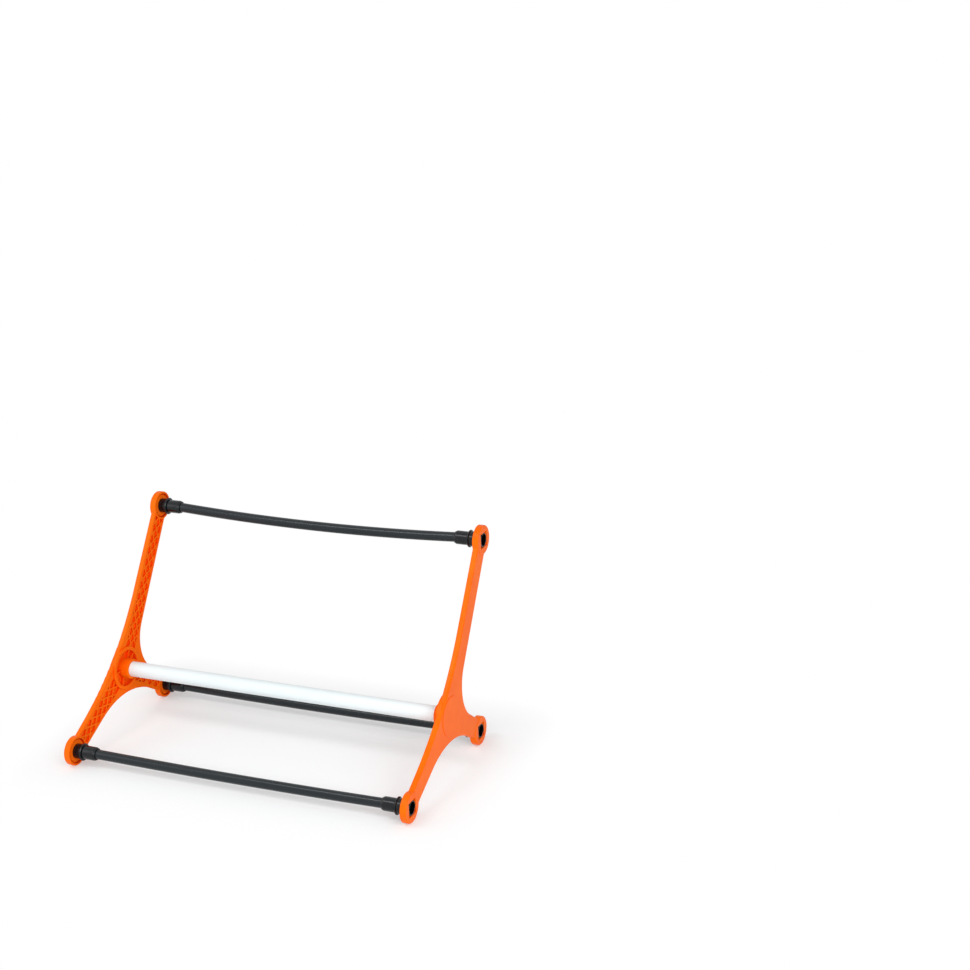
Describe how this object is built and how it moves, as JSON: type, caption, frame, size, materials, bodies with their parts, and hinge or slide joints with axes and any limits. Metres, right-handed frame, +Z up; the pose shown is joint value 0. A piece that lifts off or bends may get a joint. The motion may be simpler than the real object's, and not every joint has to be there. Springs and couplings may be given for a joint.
{
  "type": "speed hurdle",
  "caption": "Low speed hurdle: moulded side frames with lattice-ribbed arms, joined by a cross tube and flexible bars that plug into round bosses at the arm ends.",
  "frame": {"origin": "centre of the bounding box's bottom, on the floor below the hub axis, midway between the side frames", "axes": "+X along the bars to the right side frame, +Y from the front foot to the back foot, +Z up"},
  "size_m": [0.508, 0.3014, 0.304],
  "materials": {
    "frame": "satin moulded plastic, orange",
    "tube": "smooth white plastic tube",
    "bar": "semi-gloss black flexible plastic",
    "plug": "satin black moulded plastic",
    "sleeve": "satin black moulded plastic"
  },
  "bodies": {
    "left_frame": {"left_side_frame": "frame"},
    "right_frame": {"right_side_frame": "frame"},
    "tube": {"cross_tube": "tube"},
    "top_bar_set": {"top_bar": "bar", "top_bar_left_plug": "plug", "top_bar_right_plug": "plug", "top_bar_left_sleeve": "sleeve", "top_bar_right_sleeve": "sleeve"},
    "front_bar_set": {"front_bar": "bar", "front_bar_left_plug": "plug", "front_bar_right_plug": "plug", "front_bar_left_sleeve": "sleeve", "front_bar_right_sleeve": "sleeve"},
    "rear_bar_set": {"rear_bar": "bar", "rear_bar_left_plug": "plug", "rear_bar_right_plug": "plug", "rear_bar_left_sleeve": "sleeve", "rear_bar_right_sleeve": "sleeve"}
  },
  "joints": [
    {"name": "top_bar_turn", "type": "hinge", "parent": "left_frame", "child": "top_bar_set", "pos_m": [-0.25, 0.1307, 0.284], "axis": [1, 0, 0], "continuous": true},
    {"name": "front_bar_turn", "type": "hinge", "parent": "left_frame", "child": "front_bar_set", "pos_m": [-0.25, -0.1307, 0.02], "axis": [1, 0, 0], "continuous": true},
    {"name": "rear_bar_turn", "type": "hinge", "parent": "left_frame", "child": "rear_bar_set", "pos_m": [-0.25, 0.0945, 0.02], "axis": [1, 0, 0], "continuous": true},
    {"name": "tube_turn", "type": "hinge", "parent": "left_frame", "child": "tube", "pos_m": [-0.243, 0, 0.086], "axis": [1, 0, 0], "continuous": true},
    {"name": "right_frame_pull", "type": "slide", "parent": "left_frame", "child": "right_frame", "axis": [1, 0, 0], "range_m": [0, 0.03]}
  ]
}
